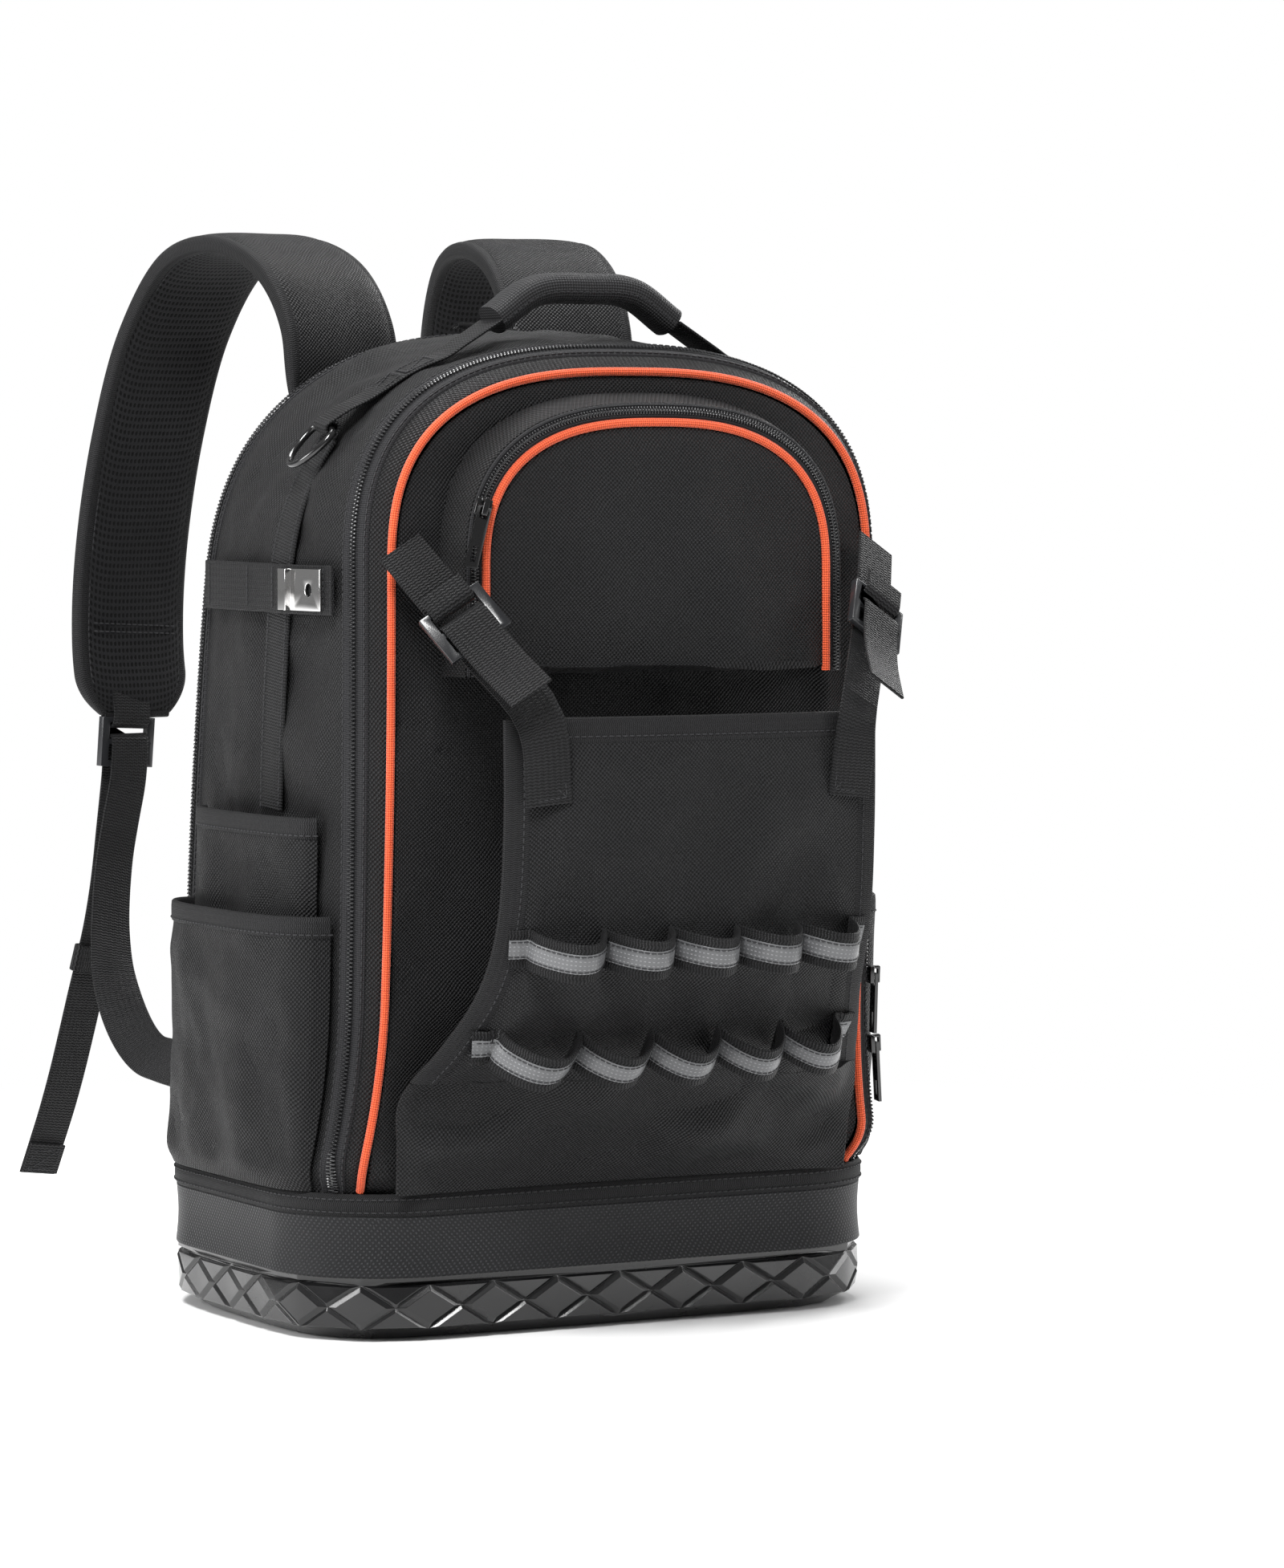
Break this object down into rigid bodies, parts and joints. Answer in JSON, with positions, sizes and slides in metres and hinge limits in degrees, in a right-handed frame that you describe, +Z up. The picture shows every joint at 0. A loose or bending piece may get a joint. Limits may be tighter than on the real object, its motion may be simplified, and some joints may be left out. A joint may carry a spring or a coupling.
{
  "type": "tool backpack",
  "caption": "Soft tool backpack on a moulded rubber tray: zipped body, front pocket, sling pocket with tool loops, side pockets, grab handle and padded shoulder straps.",
  "frame": {"origin": "middle of the tray's flat underside", "axes": "+Z up, +X to the right of someone facing the front, +Y towards the wearer's back"},
  "size_m": [0.364, 0.5015, 0.5657],
  "materials": {
    "pack_cloth": "woven nylon with a slight sheen",
    "webbing": "ribbed webbing",
    "mesh": "padded air mesh",
    "piping": "braided cord",
    "zip": "knitted tape with satin coil teeth",
    "rubber": "satin moulded rubber",
    "plastic": "satin moulded plastic",
    "black_metal": "glossy black coating",
    "steel": "polished plate"
  },
  "bodies": {
    "bag": {"base_tray": "rubber", "base_band": "pack_cloth", "base_binding": "webbing", "back_rim": "pack_cloth", "rear_zip": "zip", "main_gusset": "pack_cloth", "front_zip": "zip", "front_border": "pack_cloth", "outer_piping": "piping", "front_panel": "pack_cloth", "back_panel": "mesh", "pocket_wall": "pack_cloth", "pocket_zip": "zip", "pocket_piping": "piping", "pocket_face": "pack_cloth", "sling_pocket": "pack_cloth", "sling_binding_top": "webbing", "sling_binding_left": "webbing", "sling_binding_right": "webbing", "upper_loops": "webbing", "lower_loops": "webbing", "inner_side_pocket_left": "pack_cloth", "inner_side_pocket_right": "pack_cloth", "outer_side_pocket_left": "pack_cloth", "outer_side_pocket_right": "pack_cloth", "side_webbing_left": "webbing", "side_webbing_right": "webbing", "tape_strap_left": "webbing", "tape_strap_right": "webbing", "tape_clip": "steel", "handle_strap_left": "webbing", "handle_strap_right": "webbing", "handle_grip": "pack_cloth", "rear_zip_left_slider": "black_metal", "rear_zip_right_slider": "black_metal", "front_zip_upper_slider": "black_metal", "front_zip_lower_slider": "black_metal", "pocket_zip_slider": "black_metal", "cinch_anchor_left": "webbing", "cinch_anchor_right": "webbing", "cinch_strap_left": "webbing", "cinch_strap_right": "webbing", "cinch_buckle_left": "plastic", "cinch_buckle_right": "plastic", "shoulder_pad_left": "mesh", "shoulder_pad_right": "mesh", "shoulder_webbing_left": "webbing", "shoulder_webbing_right": "webbing", "shoulder_buckle_left": "plastic", "shoulder_buckle_right": "plastic"},
    "d_ring_left": {"d_ring_left": "black_metal"},
    "d_ring_right": {"d_ring_right": "black_metal"},
    "rear_zip_left_pull": {"rear_zip_left_pull": "black_metal"},
    "rear_zip_right_pull": {"rear_zip_right_pull": "black_metal"},
    "front_zip_upper_pull": {"front_zip_upper_pull": "black_metal"},
    "front_zip_lower_pull": {"front_zip_lower_pull": "black_metal"},
    "pocket_zip_pull": {"pocket_zip_pull": "black_metal"}
  },
  "joints": [
    {"name": "d_ring_left_swing", "type": "hinge", "parent": "bag", "child": "d_ring_left", "pos_m": [-0.13838, -0.05466, 0.45998], "axis": [0.1623, 0.9802, 0.113], "range_deg": [0, 110]},
    {"name": "d_ring_right_swing", "type": "hinge", "parent": "bag", "child": "d_ring_right", "pos_m": [0.13838, -0.05466, 0.45998], "axis": [0.1623, -0.9802, -0.113], "range_deg": [0, 110]},
    {"name": "rear_zip_left_pull_swing", "type": "hinge", "parent": "bag", "child": "rear_zip_left_pull", "pos_m": [0.01188, 0.03474, 0.51348], "axis": [-0.0022, 0.9807, -0.1957], "range_deg": [0, 150]},
    {"name": "rear_zip_right_pull_swing", "type": "hinge", "parent": "bag", "child": "rear_zip_right_pull", "pos_m": [0.07, 0.0368, 0.50534], "axis": [0.137, -0.9787, 0.1531], "range_deg": [0, 150]},
    {"name": "front_zip_upper_pull_swing", "type": "hinge", "parent": "bag", "child": "front_zip_upper_pull", "pos_m": [0.15639, -0.10391, 0.17398], "axis": [-0.1684, -0.9845, -0.05], "range_deg": [0, 150]},
    {"name": "front_zip_lower_pull_swing", "type": "hinge", "parent": "bag", "child": "front_zip_lower_pull", "pos_m": [0.15815, -0.10205, 0.13754], "axis": [-0.164, -0.9837, -0.074], "range_deg": [0, 150]},
    {"name": "pocket_zip_pull_swing", "type": "hinge", "parent": "bag", "child": "pocket_zip_pull", "pos_m": [-0.10103, -0.15473, 0.41982], "axis": [-0.9498, 0.171, 0.2618], "range_deg": [0, 150]}
  ]
}
